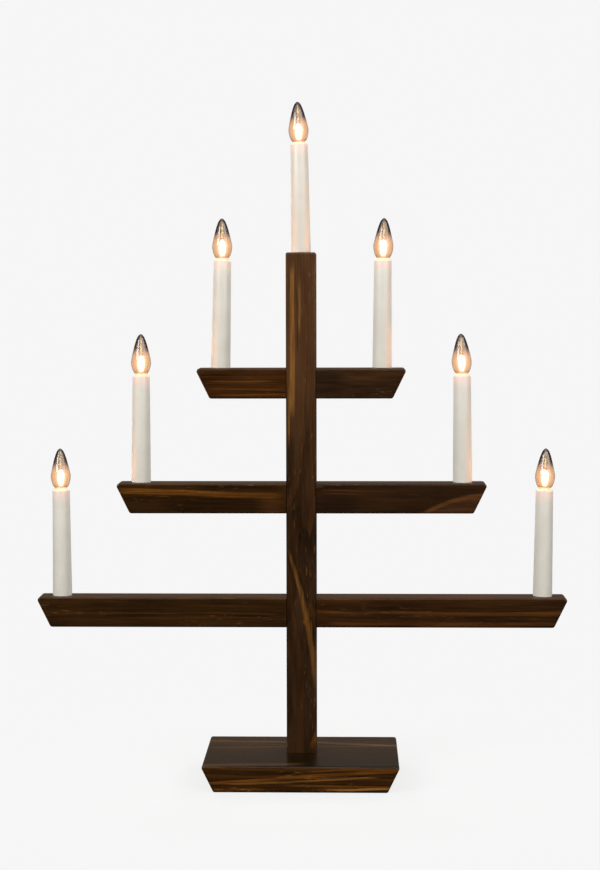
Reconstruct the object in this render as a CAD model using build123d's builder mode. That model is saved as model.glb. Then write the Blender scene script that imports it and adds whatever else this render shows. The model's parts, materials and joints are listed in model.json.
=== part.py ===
# Stepped electric Advent candlestick: a post on a base block, three pairs of half-arms, and seven
# candle tubes with screw-in flame lamps. Millimetres, +Z up, front towards -Y. The origin is the
# middle of the base's underside.
import math
import os

from build123d import *

os.makedirs("parts", exist_ok=True)

# Wood: one square batten for the post and the half-arms, one board for the base
batten = 30.0
batten_edge = 2.0
post_length = 500.0
post_setback = 6.0
arm_pitch = 114.4
end_overhang = 25.0
end_slant = 26.0
end_corner = 3.0
base_width = 196.0
base_depth = 130.0
base_height = 26.3
base_edge = 2.5

# Candles: reach of a pair from the post's axis grows by one step per level
candle_step = 80.4
tube_height = 106.2
tube_foot_radius = 9.6
tube_top_radius = 8.6
tube_wall = 1.1
tube_lip = 1.6
tube_rim_edge = 0.5
seat_gap = 0.05

# Each candle leans a little in its hole, in degrees towards +X
lean_degrees = {
    "top": -0.9,
    "upper_left": 1.2,
    "upper_right": 0.4,
    "middle_left": 0.4,
    "middle_right": -0.4,
    "lower_left": -0.2,
    "lower_right": 0.7,
}

# Each lamp's glass is cemented a little crooked in its cap, in degrees from the tube towards +X
tilt_degrees = {
    "top": -1.4,
    "upper_left": -1.6,
    "upper_right": 1.2,
    "middle_left": -0.5,
    "middle_right": -1.4,
    "lower_left": -0.6,
    "lower_right": 0.9,
}

# Lamp: screw cap, glass and mount. Heights are counted from the tube's rim
cap_radius = 4.65
cap_wall = 0.25
cap_height = 9.5
cap_top_drop = 3.8
cap_floor = 0.6
bead_radius = 3.85
bead_height = 1.0
pip_radius = 1.9
pip_height = 1.1
contact_gap = 0.1
running_fit = 0.05
thread_fit = 0.1
glass_wall = 0.6
glass_fit = 0.1
neck_depth = 3.0
bulb_radius = 9.9
bulb_height = 39.8
glass_gap = 0.5

# Outline of the glass above its neck: share of the bulb's radius and of its height
bulb_shares = [(0.85, 0.1), (1.0, 0.285), (0.88, 0.475), (0.595, 0.755), (0.36, 0.915)]

# Mount: a glass stem with two support wires and the filament between them
stem_radius = 1.9
stem_height = 12.0
flare_fit = 0.05
flare_height = 1.2
support_radius = 0.3
support_spread = 3.0
support_height = 9.0
filament_radius = 0.35
filament_rise = 3.5
pinch = 1.0

# Lamp holder in the tube's mouth
shell_wall = 0.4
shell_height = 9.2
shell_fit = 0.05
holder_wall = 1.55
holder_fit = 0.15
holder_foot = 7.1
collar_overlap = 0.6
collar_wall = 0.8
collar_height = 2.2
cup_drop = 4.4
tongue_radius = 2.6
tongue_thickness = 0.4

# Leads of the series circuit and the grooves that hold them at the back
lead_diameter = 1.9
lead_gap = 2.1
bend_radius = 4.0
groove_play = 1.05
lead_play = 0.8
slot_play = 1.0
bore_play = 0.65
cover_thickness = 1.5
cover_fit = 0.05
cover_sink = 0.2
lead_seat = 5.0
lead_fit = 0.1

# Plug that holds a tube's foot in the wood
plug_wall = 1.9
plug_fit = 0.1
plug_height = 8.0
plug_play = 0.4
plug_edge = 0.6

# Dowels through the post into both half-arms
dowel_radius = 4.0
dowel_reach = 18.0
dowel_fit = 0.05
dowel_spacing = 15.0
dowel_forward = 2.0
dowel_end_gap = 1.0
dowel_edge = 0.8

# Screws from the base into the post
screw_radius = 2.25
screw_length = 50.0
screw_head_radius = 4.3
screw_head_height = 2.6
screw_spacing = 16.0
screw_fit = 0.05
screw_sink = 0.6
recess_width = 1.2
recess_depth = 1.4

# Wiring pocket under the base, its plate, terminal block and cord bush
pocket_width = 32.0
pocket_back_wall = 11.75
pocket_depth = 16.0
pocket_corner = 3.0
plate_thickness = 2.8
plate_margin = 6.0
plate_fit = 0.2
plate_screw_radius = 1.3
plate_screw_length = 10.0
plate_head_radius = 2.6
plate_head_height = 1.5
plate_screw_inset = 3.2
block_width = 15.0
block_length = 18.0
block_height = 11.0
block_edge = 0.8
block_screw_radius = 1.6
bush_radius = 5.0
bush_flange_radius = 6.5
bush_flange = 2.0
bush_fit = 0.1
bush_edge = 0.5
cord_radius = 2.9

# Overrun of every cut past the surface that it opens
overrun = 1.0

# Places worked out from the sizes above
post_half = batten / 2
post_y = post_setback
rear_y = post_y + post_half
post_top = base_height + post_length
slant = math.tan(math.radians(end_slant))
levels = ["upper", "middle", "lower"]
sides = ["left", "right"]

lead_radius = lead_diameter / 2
lead_offset = (lead_diameter + lead_gap) / 2
groove_width = 2 * (lead_offset + lead_radius + groove_play)
groove_depth = cover_thickness + lead_diameter + 2 * lead_play
lead_y = rear_y - cover_thickness - lead_play - lead_radius
slot_reach = lead_offset + bend_radius + slot_play

plug_bore = lead_offset + lead_radius + bore_play
stem_fit_radius = plug_bore + plug_wall
seat_bore = stem_fit_radius + plug_fit
plug_depth = post_half - lead_offset - bend_radius - slot_play
bore_depth = post_half + groove_width / 2

shell_inner = cap_radius + thread_fit
shell_outer = shell_inner + shell_wall
holder_bore = shell_outer + shell_fit
holder_radius = holder_bore + holder_wall
lip_radius = holder_radius + holder_fit
collar_radius = lip_radius + collar_overlap
cup_radius = collar_radius - collar_wall
glass_seat_radius = cup_radius - glass_gap
neck_radius = cap_radius - cap_wall - glass_fit
flare_radius = neck_radius - glass_wall - flare_fit
cap_foot_drop = cap_top_drop + cap_height
bead_foot_drop = cap_foot_drop
pip_drop = bead_foot_drop + pip_height
tongue_drop = pip_drop + contact_gap
holder_floor_drop = tongue_drop + tongue_thickness
holder_foot_drop = holder_floor_drop + holder_foot
shell_top_drop = cup_drop + shell_fit

pocket_start = post_y + lead_radius + screw_head_radius
pocket_end = base_depth / 2 - pocket_back_wall
pocket_length = pocket_end - pocket_start
lead_hole_radius = lead_offset + lead_radius + lead_fit
plate_recess = plate_thickness + plate_fit
bush_z = (pocket_depth + plate_recess) / 2
terminal_start = pocket_end - block_length - bend_radius


class Candle:
    """Where one candle stands: its own frame has z along the leaning tube."""

    def __init__(self, name, x, wood_top):
        self.name = name
        self.x = x
        self.wood_top = wood_top
        angle = math.radians(lean_degrees[name])
        lift = tube_foot_radius * abs(math.sin(angle)) + seat_gap
        self.frame = Plane(
            origin=(x, post_y, wood_top + lift),
            x_dir=(math.cos(angle), 0, -math.sin(angle)),
            z_dir=(math.sin(angle), 0, math.cos(angle)),
        )
        self.lift = lift
        self.profile = side_plane(self.frame)
        self.axis = Axis(self.frame.origin, self.frame.z_dir)
        # The lamp's frame turns about the middle of its cap's mouth and counts from the same foot
        mouth = tube_height - cap_top_drop
        angle += math.radians(tilt_degrees[name])
        along = Vector(math.sin(angle), 0, math.cos(angle))
        self.lamp = Plane(
            origin=self.frame.from_local_coords(Vector(0, 0, mouth)) - along * mouth,
            x_dir=(math.cos(angle), 0, -math.sin(angle)),
            z_dir=along,
        )
        self.lamp_profile = side_plane(self.lamp)
        self.lamp_axis = Axis(self.lamp.origin, along)

    def point(self, x, y, z):
        return self.frame.from_local_coords(Vector(x, y, z))

    def lamp_point(self, x, y, z):
        return self.lamp.from_local_coords(Vector(x, y, z))


def side_plane(frame):
    """The plane through a frame's z axis that is drawn on for a turned outline."""
    return Plane(origin=frame.origin, x_dir=frame.x_dir, z_dir=-frame.y_dir)


def steps_down(level):
    """How many steps a level lies below the post's top, which is also how many it reaches out."""
    return levels.index(level) + 1


def way_to(side):
    """-1 for the left side and 1 for the right one."""
    return -1 if side == "left" else 1


def arm_top(level):
    return post_top - arm_pitch * steps_down(level)


def arm_half(level):
    return candle_step * steps_down(level) + end_overhang


def make_candles():
    found = {"top": Candle("top", 0, post_top)}
    for level in levels:
        for side in sides:
            name = f"{level}_{side}"
            reach = candle_step * steps_down(level)
            found[name] = Candle(name, way_to(side) * reach, arm_top(level))
    return found


candles = make_candles()


def keep(piece, name):
    piece.label = name
    export_step(piece, f"parts/{name}.step")


def outline(plane, points):
    """A closed straight-sided outline on a plane."""
    with BuildSketch(plane) as shape:
        with BuildLine():
            Polyline(*points, close=True)
        make_face()
    return shape.sketch


def make_base_block():
    half = base_width / 2
    foot = half - base_height * slant
    with BuildPart() as block:
        with BuildSketch(Plane.XZ):
            with BuildLine():
                Polyline((-half, base_height), (half, base_height), (foot, 0), (-foot, 0), close=True)
            make_face()
        extrude(amount=base_depth / 2, both=True)
        fillet(block.edges(), radius=base_edge)
        # Holes for the two screws into the post, sunk from below
        with BuildSketch():
            with Locations(*screw_places()):
                Circle(screw_radius + screw_fit)
        extrude(amount=base_height, mode=Mode.SUBTRACT)
        for x, y in screw_places():
            seat = head_seat(x, y, screw_head_radius, screw_head_height, screw_radius, screw_sink)
            revolve(seat, axis=upright(x, y), mode=Mode.SUBTRACT)
        # Wiring pocket, the plate's recess, the leads' way up and the bush's way out
        with BuildSketch():
            with Locations((0, pocket_start + pocket_length / 2)):
                RectangleRounded(pocket_width, pocket_length, pocket_corner)
        extrude(amount=pocket_depth, mode=Mode.SUBTRACT)
        with BuildSketch():
            with Locations(plate_place()):
                RectangleRounded(plate_size()[0], plate_size()[1], pocket_corner)
        extrude(amount=plate_recess, mode=Mode.SUBTRACT)
        with BuildSketch(Plane.XY.offset(base_height)):
            with Locations((0, lead_y)):
                Circle(lead_hole_radius)
        extrude(amount=-(base_height - pocket_depth + overrun), mode=Mode.SUBTRACT)
        with BuildSketch():
            with Locations(*plate_screw_places()):
                Circle(plate_screw_radius + screw_fit)
        extrude(amount=plate_recess + plate_screw_length, mode=Mode.SUBTRACT)
        with BuildSketch(Plane.XZ.offset(-base_depth / 2)):
            with Locations((0, bush_z)):
                Circle(bush_radius + bush_fit)
        extrude(amount=base_depth / 2 - pocket_end + overrun, mode=Mode.SUBTRACT)
        with BuildSketch(Plane.XZ.offset(-base_depth / 2)):
            with Locations((0, bush_z)):
                Circle(bush_flange_radius + bush_fit)
        extrude(amount=bush_flange + bush_fit, mode=Mode.SUBTRACT)
    return block.part


def screw_places():
    return [(-screw_spacing / 2, 0), (screw_spacing / 2, 0)]


def plate_size():
    return (pocket_width + 2 * plate_margin, pocket_length + 2 * plate_margin)


def plate_place():
    return (0, pocket_start + pocket_length / 2)


def plate_screw_places():
    width, length = plate_size()
    x = width / 2 - plate_screw_inset
    y = length / 2 - plate_screw_inset
    middle = plate_place()[1]
    return [(sx * x, middle + sy * y) for sx in (-1, 1) for sy in (-1, 1)]


def head_seat(x, y, head_radius, head_height, shank_radius, sink):
    """Half the section of a countersunk seat that opens downwards."""
    points = [
        (x, 0),
        (x + head_radius + screw_fit, 0),
        (x + head_radius + screw_fit, sink),
        (x + shank_radius + screw_fit, sink + head_height),
        (x, sink + head_height),
    ]
    return outline(Plane.XZ.offset(-y), points)


def upright(x, y):
    return Axis((x, y, 0), (0, 0, 1))


def make_post():
    with BuildPart() as post:
        with BuildSketch(Plane.XY.offset(base_height)):
            with Locations((0, post_y)):
                RectangleRounded(batten, batten, batten_edge)
        extrude(amount=post_length)
        fillet(post.faces().sort_by(Axis.Z)[-1].edges(), radius=batten_edge)
        # Groove up the back, and one across it at each arm
        foot_to_turn = post_length - post_half + slot_reach
        with BuildSketch(Plane.XZ.offset(-rear_y)):
            with Locations((0, base_height + foot_to_turn / 2)):
                Rectangle(groove_width, foot_to_turn)
            with Locations(*[(0, arm_top(level) - post_half) for level in levels]):
                Rectangle(batten, groove_width)
        extrude(amount=groove_depth, mode=Mode.SUBTRACT)
        with BuildSketch(Plane.XY.offset(post_top)):
            with Locations((0, post_y)):
                Circle(seat_bore)
        extrude(amount=-bore_depth, mode=Mode.SUBTRACT)
        slot_top = post_top - post_half
        with BuildSketch(Plane.XZ.offset(-rear_y)):
            with Locations((0, slot_top)):
                Rectangle(groove_width, 2 * slot_reach)
        extrude(amount=post_half, mode=Mode.SUBTRACT)
        # Through holes for the dowels, and pilots for the two screws
        with BuildSketch(Plane.YZ.offset(-post_half)):
            with Locations(*dowel_places()):
                Circle(dowel_radius + dowel_fit)
        extrude(amount=batten, mode=Mode.SUBTRACT)
        with BuildSketch(Plane.XY.offset(base_height)):
            with Locations(*screw_places()):
                Circle(screw_radius + screw_fit)
        extrude(amount=screw_length + screw_sink - base_height + overrun, mode=Mode.SUBTRACT)
    return post.part


def dowel_places(level=None):
    """Dowel centres across the post, as (y, z), for one level or for all."""
    chosen = [level] if level else levels
    return [
        (post_y - dowel_forward, arm_top(one) - post_half + side * dowel_spacing / 2)
        for one in chosen
        for side in (-1, 1)
    ]


def make_half_arm(level, side):
    way = way_to(side)
    top = arm_top(level)
    half = arm_half(level)
    candle = candles[f"{level}_{side}"]
    with BuildPart() as arm:
        with BuildSketch(Plane.XZ.offset(-rear_y)) as shape:
            with BuildLine():
                Polyline(
                    (way * post_half, top),
                    (way * half, top),
                    (way * (half - batten * slant), top - batten),
                    (way * post_half, top - batten),
                    close=True,
                )
            make_face()
            ends = [v for v in shape.vertices() if abs(v.X) > post_half + batten_edge]
            fillet(ends, radius=end_corner)
        extrude(amount=batten)
        long_edges = [
            edge
            for face in (arm.faces().sort_by(Axis.Y)[0], arm.faces().sort_by(Axis.Y)[-1])
            for edge in face.edges()
            if abs(edge.center().X) > post_half + batten_edge
        ]
        fillet(long_edges, radius=batten_edge)
        with BuildSketch(Plane.XY.offset(top)):
            with Locations((candle.x, post_y)):
                Circle(seat_bore)
        extrude(amount=-bore_depth, mode=Mode.SUBTRACT)
        # Groove along the back from the post, deeper behind the candle's hole
        reach = abs(candle.x) + slot_reach - post_half
        with BuildSketch(Plane.XZ.offset(-rear_y)):
            with Locations((way * (post_half + reach / 2), top - post_half)):
                Rectangle(reach, groove_width)
        extrude(amount=groove_depth, mode=Mode.SUBTRACT)
        with BuildSketch(Plane.XZ.offset(-rear_y)):
            with Locations((candle.x, top - post_half)):
                Rectangle(2 * slot_reach, groove_width)
        extrude(amount=post_half, mode=Mode.SUBTRACT)
        with BuildSketch(Plane.YZ.offset(way * post_half)):
            with Locations(*dowel_places(level)):
                Circle(dowel_radius + dowel_fit)
        extrude(amount=way * (dowel_reach + dowel_end_gap), mode=Mode.SUBTRACT)
    return arm.part


def make_arm_dowels():
    half = post_half + dowel_reach
    with BuildPart() as dowels:
        with BuildSketch(Plane.YZ.offset(-half)):
            with Locations(*dowel_places()):
                Circle(dowel_radius)
        extrude(amount=2 * half)
        chamfer(dowels.edges().filter_by(GeomType.CIRCLE), length=dowel_edge)
    return dowels.part


def make_screws(places, head_radius, head_height, shank_radius, length, sink):
    """Countersunk screws from below, each with a cross recess."""
    across = head_radius + shank_radius - recess_width
    with BuildPart() as screws:
        for x, y in places:
            points = [
                (x, sink),
                (x + head_radius, sink),
                (x + shank_radius, sink + head_height),
                (x + shank_radius, sink + length - shank_radius),
                (x, sink + length),
            ]
            revolve(outline(Plane.XZ.offset(-y), points), axis=upright(x, y))
        with BuildSketch(Plane.XY.offset(sink)):
            with Locations(*places):
                Rectangle(across, recess_width)
                Rectangle(recess_width, across)
        extrude(amount=recess_depth * head_radius / screw_head_radius, mode=Mode.SUBTRACT)
    return screws.part


def make_base_screws():
    return make_screws(
        screw_places(), screw_head_radius, screw_head_height, screw_radius, screw_length, screw_sink
    )


def make_base_plate():
    width, length = plate_size()
    with BuildPart() as plate:
        with BuildSketch(Plane.XY.offset(plate_fit)):
            with Locations(plate_place()):
                RectangleRounded(width - 2 * plate_fit, length - 2 * plate_fit, pocket_corner)
        extrude(amount=plate_thickness)
        with BuildSketch():
            with Locations(*plate_screw_places()):
                Circle(plate_screw_radius + screw_fit)
        extrude(amount=plate_recess, mode=Mode.SUBTRACT)
        for x, y in plate_screw_places():
            seat = head_seat(x, y, plate_head_radius, plate_head_height, plate_screw_radius, 2 * plate_fit)
            revolve(seat, axis=upright(x, y), mode=Mode.SUBTRACT)
    return plate.part


def make_plate_screws():
    return make_screws(
        plate_screw_places(),
        plate_head_radius,
        plate_head_height,
        plate_screw_radius,
        plate_screw_length,
        2 * plate_fit,
    )


def make_groove_covers():
    """Strips pressed into the grooves: one up the post, one along each half-arm."""
    width = groove_width - 2 * cover_fit
    up = post_length - post_half + slot_reach - cover_fit
    back = rear_y - cover_sink
    with BuildPart() as covers:
        with BuildSketch(Plane.XZ.offset(-back)):
            with Locations((0, base_height + up / 2)):
                Rectangle(width, up - cover_fit)
        extrude(amount=cover_thickness)
        start = groove_width / 2
        for candle in candles.values():
            if candle.x:
                end = abs(candle.x) + slot_reach - cover_fit
                way = math.copysign(1, candle.x)
                with BuildSketch(Plane.XZ.offset(-back)):
                    with Locations((way * (start + end) / 2, candle.wood_top - post_half)):
                        Rectangle(end - start, width)
                extrude(amount=cover_thickness)
    return covers.part


def make_cord_bush():
    flange_y = base_depth / 2 - bush_fit
    with BuildPart() as bush:
        with BuildSketch(Plane.XZ.offset(-flange_y)):
            with Locations((0, bush_z)):
                Circle(bush_flange_radius)
        extrude(amount=bush_flange)
        with BuildSketch(Plane.XZ.offset(-flange_y)):
            with Locations((0, bush_z)):
                Circle(bush_radius)
        extrude(amount=flange_y - pocket_end)
        fillet(bush.edges().filter_by(GeomType.CIRCLE).group_by(Axis.Y)[-1], radius=bush_edge)
        with BuildSketch(Plane.XZ.offset(-base_depth / 2)):
            with Locations((0, bush_z)):
                Circle(cord_radius)
        extrude(amount=base_depth / 2 - pocket_end + overrun, mode=Mode.SUBTRACT)
    return bush.part


def make_terminal_block():
    top = pocket_depth
    middle_y = terminal_start + block_length / 2
    with BuildPart() as block:
        with BuildSketch(Plane.XY.offset(top - block_height)):
            with Locations((0, middle_y)):
                Rectangle(block_width, block_length)
        extrude(amount=block_height)
        fillet(block.edges().filter_by(Axis.Y), radius=block_edge)
        with BuildSketch(Plane.XZ.offset(-terminal_start)):
            with Locations((-lead_offset, bush_z), (lead_offset, bush_z)):
                Circle(lead_radius + lead_fit)
        extrude(amount=-block_length, mode=Mode.SUBTRACT)
        with BuildSketch(Plane.XY.offset(top - block_height)):
            with Locations((0, middle_y)):
                with GridLocations(4 * lead_offset, block_length / 2, 2, 2):
                    Circle(block_screw_radius)
        extrude(amount=block_height / 4, mode=Mode.SUBTRACT)
    return block.part


def make_tube_plugs():
    """The plugs stand straight in the wood: a flange inside the tube's foot and a stem below it."""
    flange = tube_foot_radius - tube_wall - plug_play
    with BuildPart() as plugs:
        for candle in candles.values():
            with BuildSketch(Plane.XY.offset(candle.wood_top)):
                with Locations((candle.x, post_y)):
                    Circle(flange)
            extrude(amount=plug_height)
            with BuildSketch(Plane.XY.offset(candle.wood_top)):
                with Locations((candle.x, post_y)):
                    Circle(stem_fit_radius)
            extrude(amount=-plug_depth)
        tops = [e for e in plugs.edges().filter_by(GeomType.CIRCLE) if e.radius > stem_fit_radius]
        upper = [e for e in tops if is_plug_top(e.center().Z)]
        chamfer(upper, length=plug_edge)
        for candle in candles.values():
            with BuildSketch(Plane.XY.offset(candle.wood_top + plug_height)):
                with Locations((candle.x, post_y)):
                    Circle(plug_bore)
            extrude(amount=-(plug_height + plug_depth), mode=Mode.SUBTRACT)
    return plugs.part


def is_plug_top(z):
    return any(abs(z - candle.wood_top - plug_height) < plug_edge for candle in candles.values())


def make_candle_tube(candle):
    foot = tube_foot_radius
    top = tube_top_radius
    rim = tube_height
    points = [
        (foot - tube_wall, 0),
        (foot, 0),
        (top, rim - tube_rim_edge),
        (top - tube_rim_edge, rim),
        (lip_radius, rim),
        (lip_radius, rim - tube_lip),
        (top - tube_wall, rim - tube_lip),
    ]
    with BuildPart() as tube:
        revolve(outline(candle.profile, points), axis=candle.axis)
    return tube.part


def make_lamp_holder(candle):
    rim = tube_height
    points = [
        (0, rim - holder_foot_drop),
        (holder_radius, rim - holder_foot_drop),
        (holder_radius, rim),
        (collar_radius, rim),
        (collar_radius, rim + collar_height),
        (cup_radius, rim + collar_height),
        (holder_bore, rim - cup_drop),
        (holder_bore, rim - holder_floor_drop),
        (0, rim - holder_floor_drop),
    ]
    with BuildPart() as holder:
        revolve(outline(candle.profile, points), axis=candle.axis)
        with BuildSketch(candle.frame.offset(rim - holder_foot_drop)):
            with Locations((-lead_offset, 0), (lead_offset, 0)):
                Circle(lead_radius + lead_fit)
        extrude(amount=lead_seat, mode=Mode.SUBTRACT)
    return holder.part


def make_socket_contacts():
    """Each holder's screw shell and the tongue under the lamp's contact."""
    rim = tube_height
    shell = [
        (shell_inner, rim - shell_top_drop - shell_height),
        (shell_outer, rim - shell_top_drop - shell_height),
        (shell_outer, rim - shell_top_drop),
        (shell_inner, rim - shell_top_drop),
    ]
    tongue = [
        (0, rim - holder_floor_drop),
        (tongue_radius, rim - holder_floor_drop),
        (tongue_radius, rim - tongue_drop),
        (0, rim - tongue_drop),
    ]
    with BuildPart() as contacts:
        for candle in candles.values():
            revolve(outline(candle.profile, shell), axis=candle.axis)
            revolve(outline(candle.profile, tongue), axis=candle.axis)
    return contacts.part


def make_lamp_contact(candle):
    """Solder contact on its insulating bead, in the floor of the lamp's cap."""
    foot = tube_height - bead_foot_drop
    with BuildPart() as contact:
        with BuildSketch(candle.profile):
            with BuildLine():
                TangentArc((0, foot - pip_height), (pip_radius, foot), tangent=(1, 0))
                Polyline(
                    (pip_radius, foot),
                    (bead_radius, foot),
                    (bead_radius, foot + bead_height),
                    (0, foot + bead_height),
                    (0, foot - pip_height),
                )
            make_face()
        revolve(axis=candle.axis)
    return contact.part


def make_lamp_cap(candle):
    foot = tube_height - cap_foot_drop
    inner = cap_radius - cap_wall
    points = [
        (bead_radius + running_fit, foot),
        (inner, foot),
        (cap_radius, foot + cap_wall),
        (cap_radius, foot + cap_height),
        (inner, foot + cap_height),
        (inner, foot + cap_floor),
        (bead_radius + running_fit, foot + cap_floor),
    ]
    with BuildPart() as cap:
        revolve(outline(candle.profile, points), axis=candle.axis)
    return cap.part


def bulb_outline(inset):
    """Points up the glass from its seat to below its tip, moved in by the wall for the inner face."""
    rise = tube_height + collar_height
    return [(bulb_radius * across - inset, rise + bulb_height * up) for across, up in bulb_shares]


def make_lamp_glass(candle):
    rim = tube_height
    tip = rim + collar_height + bulb_height
    cap_top = rim - cap_top_drop
    with BuildPart() as glass:
        for inset, mode in ((0, Mode.ADD), (glass_wall, Mode.SUBTRACT)):
            foot = cap_top - neck_depth
            top = tip - 2 * inset
            with BuildSketch(candle.lamp_profile):
                with BuildLine():
                    start = Line((neck_radius - inset, foot), (neck_radius - inset, cap_top))
                    side = Spline(
                        start @ 1,
                        (glass_seat_radius - inset, rim + collar_height),
                        *bulb_outline(inset),
                        (0, top),
                        tangents=[(0, 1), (-1, 0)],
                    )
                    Polyline(side @ 1, (0, foot), start @ 0)
                make_face()
            revolve(axis=candle.lamp_axis, mode=mode)
    return glass.part


def make_lamp_mount(candle):
    """Glass stem with its flare in the neck, two support wires and the filament across them."""
    foot = tube_height - cap_top_drop - neck_depth
    top = foot + stem_height
    stem = [
        (0, foot),
        (flare_radius, foot),
        (stem_radius, foot + flare_height),
        (stem_radius, top - pinch),
        (stem_radius - pinch, top),
        (0, top),
    ]
    with BuildPart() as mount:
        revolve(outline(candle.lamp_profile, stem), axis=candle.lamp_axis)
        for way in (-1, 1):
            low = candle.lamp_point(way * support_spread / 4, 0, top - pinch)
            high = candle.lamp_point(way * support_spread, 0, top + support_height)
            run = high - low
            with BuildSketch(Plane(origin=low, z_dir=run)):
                Circle(support_radius)
            extrude(amount=run.length)
        with BuildLine():
            path = ThreePointArc(
                candle.lamp_point(-support_spread, 0, top + support_height),
                candle.lamp_point(0, 0, top + support_height + filament_rise),
                candle.lamp_point(support_spread, 0, top + support_height),
            )
        with BuildSketch(Plane(origin=path @ 0, z_dir=path % 0)):
            Circle(filament_radius)
        sweep(path=path)
    return mount.part


def holder_lead_point(candle, side):
    """Where a lead ends inside a holder's foot."""
    return candle.point(side * lead_offset, 0, tube_height - holder_foot_drop + lead_seat)


def lead_turn(candle, side, level_shift):
    """Corner below the holder where a lead leaves the tube's line for the back."""
    depth = candle.lift + post_half - level_shift
    return candle.point(side * lead_offset, 0, -depth)


def way_down(candle, side, level_shift):
    """A lead's points from the holder down through the plug to its groove at the back."""
    turn = lead_turn(candle, side, level_shift)
    return [holder_lead_point(candle, side), turn, Vector(turn.X, lead_y, turn.Z)]


def lead_between(lower, upper, side):
    """Lead from one candle to the next one up on the same side, through the post's groove."""
    way = way_to(side)
    x = way * lead_offset
    inner = way_down(lower, -way, lead_offset)
    if upper.x:
        outer = way_down(upper, way, -lead_offset)
        crossing = [Vector(x, lead_y, inner[-1].Z), Vector(x, lead_y, outer[-1].Z)]
    else:
        outer = way_down(upper, way, 0)
        crossing = [Vector(outer[-1].X, lead_y, inner[-1].Z)]
    return inner + crossing + outer[::-1]


def lead_from_base(lower, side):
    """Lead from the terminal block up the post's groove and out to the lowest candle."""
    way = way_to(side)
    x = way * lead_offset
    outer = way_down(lower, way, -lead_offset)
    start = Vector(x, terminal_start + lead_seat, bush_z)
    return [start, Vector(x, lead_y, bush_z), Vector(x, lead_y, outer[-1].Z)] + outer[::-1]


def lead_routes():
    routes = []
    for side in sides:
        chain = [candles[f"{level}_{side}"] for level in reversed(levels)] + [candles["top"]]
        routes.append(lead_from_base(chain[0], side))
        for lower, upper in zip(chain, chain[1:]):
            routes.append(lead_between(lower, upper, side))
    return routes


def make_series_leads():
    section = math.pi * lead_radius**2
    planned = 0
    with BuildPart() as leads:
        for number, route in enumerate(lead_routes()):
            radii = [bend_radius for corner in route[1:-1]]
            with BuildLine():
                path = FilletPolyline(*route, radius=radii)
            with BuildSketch(Plane(origin=path @ 0, z_dir=path % 0)):
                Circle(lead_radius)
            sweep(path=path)
            planned += section * path.length
            print(f"lead {number}: {len(radii)} bends of {bend_radius} mm, {path.length:.1f} mm long")
    print(f"leads: volume {leads.part.volume:.1f}, section times length {planned:.1f}")
    return leads.part


keep(make_base_block(), "base_block")
keep(make_post(), "post")
for level in levels:
    for side in sides:
        keep(make_half_arm(level, side), f"{level}_{side}_arm")
keep(make_arm_dowels(), "arm_dowels")
keep(make_base_screws(), "base_screws")
keep(make_base_plate(), "base_plate")
keep(make_plate_screws(), "plate_screws")
keep(make_groove_covers(), "groove_covers")
keep(make_cord_bush(), "cord_bush")
keep(make_terminal_block(), "terminal_block")
keep(make_series_leads(), "series_leads")
keep(make_tube_plugs(), "tube_plugs")
keep(make_socket_contacts(), "socket_contacts")
for name, candle in candles.items():
    keep(make_candle_tube(candle), f"candle_tube_{name}")
    keep(make_lamp_holder(candle), f"lamp_holder_{name}")
    keep(make_lamp_contact(candle), f"lamp_contact_{name}")
    keep(make_lamp_cap(candle), f"lamp_cap_{name}")
    keep(make_lamp_glass(candle), f"lamp_glass_{name}")
    keep(make_lamp_mount(candle), f"lamp_mount_{name}")
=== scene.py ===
import json
import math

import bpy
from mathutils import Matrix, Vector


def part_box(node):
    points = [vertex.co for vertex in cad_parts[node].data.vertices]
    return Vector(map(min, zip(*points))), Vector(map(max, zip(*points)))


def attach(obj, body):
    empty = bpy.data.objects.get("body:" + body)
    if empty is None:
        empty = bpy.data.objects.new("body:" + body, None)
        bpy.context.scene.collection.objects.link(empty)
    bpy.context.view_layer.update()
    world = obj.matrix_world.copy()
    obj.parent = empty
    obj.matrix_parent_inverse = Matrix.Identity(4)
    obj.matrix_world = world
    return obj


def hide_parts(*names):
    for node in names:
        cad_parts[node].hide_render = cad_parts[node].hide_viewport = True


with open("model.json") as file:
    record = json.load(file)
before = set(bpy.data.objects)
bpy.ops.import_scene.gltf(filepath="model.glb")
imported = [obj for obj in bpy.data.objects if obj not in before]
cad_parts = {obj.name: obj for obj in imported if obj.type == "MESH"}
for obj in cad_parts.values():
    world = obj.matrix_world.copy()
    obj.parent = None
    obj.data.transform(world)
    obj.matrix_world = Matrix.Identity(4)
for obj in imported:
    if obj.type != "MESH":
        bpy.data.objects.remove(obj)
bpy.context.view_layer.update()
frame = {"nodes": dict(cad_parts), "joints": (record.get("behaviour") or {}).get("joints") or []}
nodes = frame["nodes"]
mm = 0.001


def new_object(name, data):
    """A new object in the scene."""
    made = bpy.data.objects.new(name, data)
    bpy.context.scene.collection.objects.link(made)
    return made


# Camera

# Fitted to the straight edges of the wood: place in metres, turns in radians, focal length in pixels
eye = Vector((0.04666, -1.86851, 0.47337))
turn_right = -0.02566
look_down = 0.06841
roll = -0.00202
focal_pixels = 1880.94
frame_height = 870


def make_camera():
    """The camera at its fitted place, turned right, then down, then rolled."""
    data = bpy.data.cameras.new("camera")
    data.sensor_width = 36
    data.lens = focal_pixels * data.sensor_width / frame_height
    data.clip_start = 0.05
    data.clip_end = 60
    heading = Matrix.Rotation(-turn_right, 4, "Z")
    pitch = Matrix.Rotation(math.pi / 2 - look_down, 4, "X")
    camera = new_object("camera", data)
    camera.matrix_world = Matrix.Translation(eye) @ heading @ pitch @ Matrix.Rotation(roll, 4, "Z")
    bpy.context.scene.camera = camera
    bpy.context.scene.view_settings.view_transform = "Standard"


# Node helpers


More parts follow.
